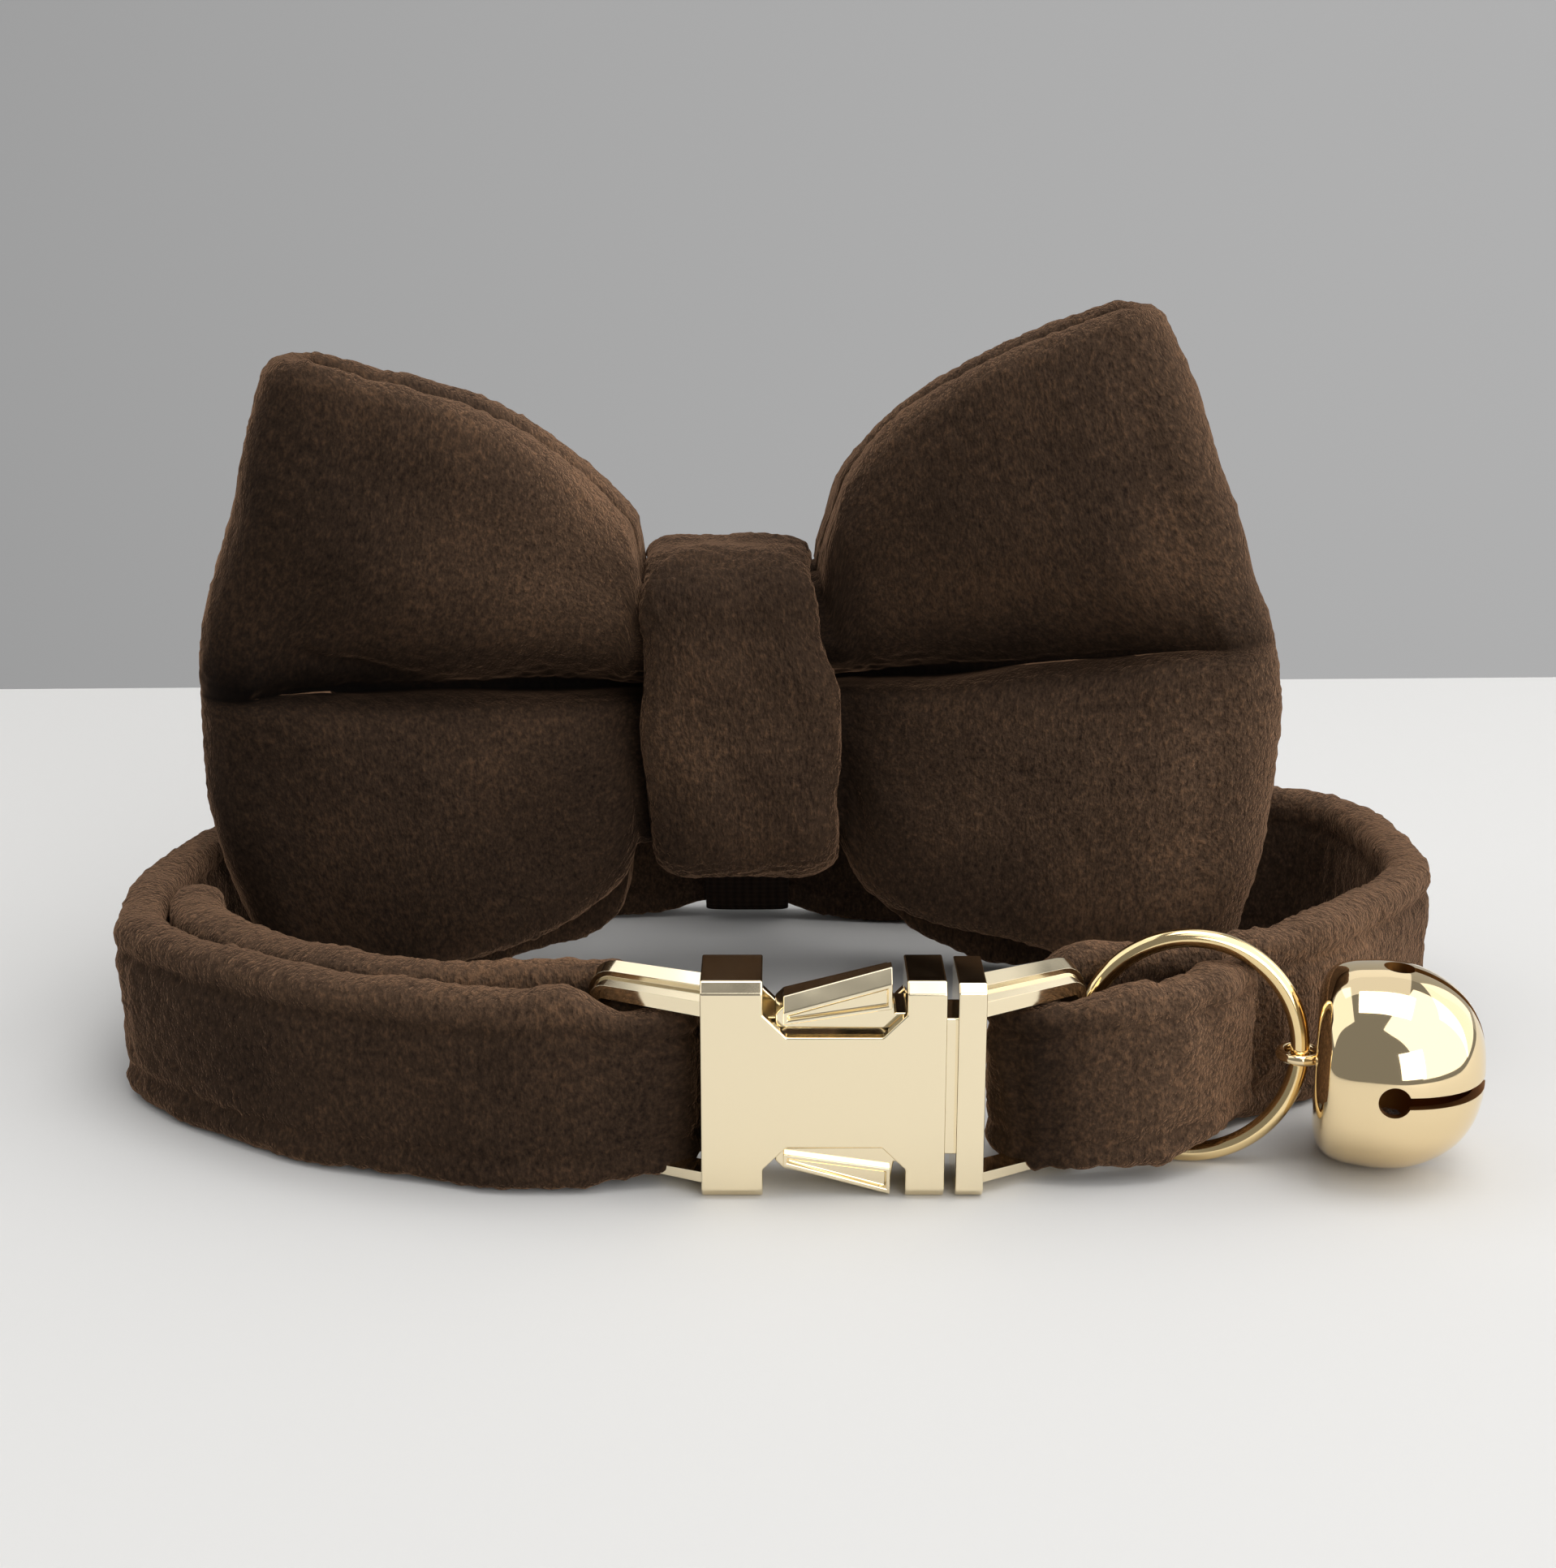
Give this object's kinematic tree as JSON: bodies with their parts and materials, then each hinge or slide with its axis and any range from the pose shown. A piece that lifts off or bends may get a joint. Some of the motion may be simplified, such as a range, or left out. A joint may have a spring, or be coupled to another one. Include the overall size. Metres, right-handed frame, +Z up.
{
  "type": "cat collar",
  "caption": "Padded velvet cat collar with a bow tie, a fastened metal side-release buckle, a ring and a jingle bell, standing on its edge.",
  "frame": {"origin": "on the surface the collar stands on, under the middle of its bounding box", "axes": "+Z up, the buckle's face looks along -Y, +X towards the bell, along the longest side"},
  "size_m": [0.1083, 0.0685, 0.0604],
  "materials": {
    "velvet": "short brown plush pile",
    "gold": "polished pale gold plating on zinc alloy, steel wire and brass",
    "steel": "bright",
    "elastic": "woven elastic"
  },
  "bodies": {
    "root": {"strap": "velvet", "buckle_socket": "gold", "buckle_plug": "gold", "collar_ring": "gold", "bell": "gold", "bell_ball": "steel", "bow_wings": "velvet", "bow_knot": "velvet", "bow_keeper": "elastic"}
  },
  "joints": []
}
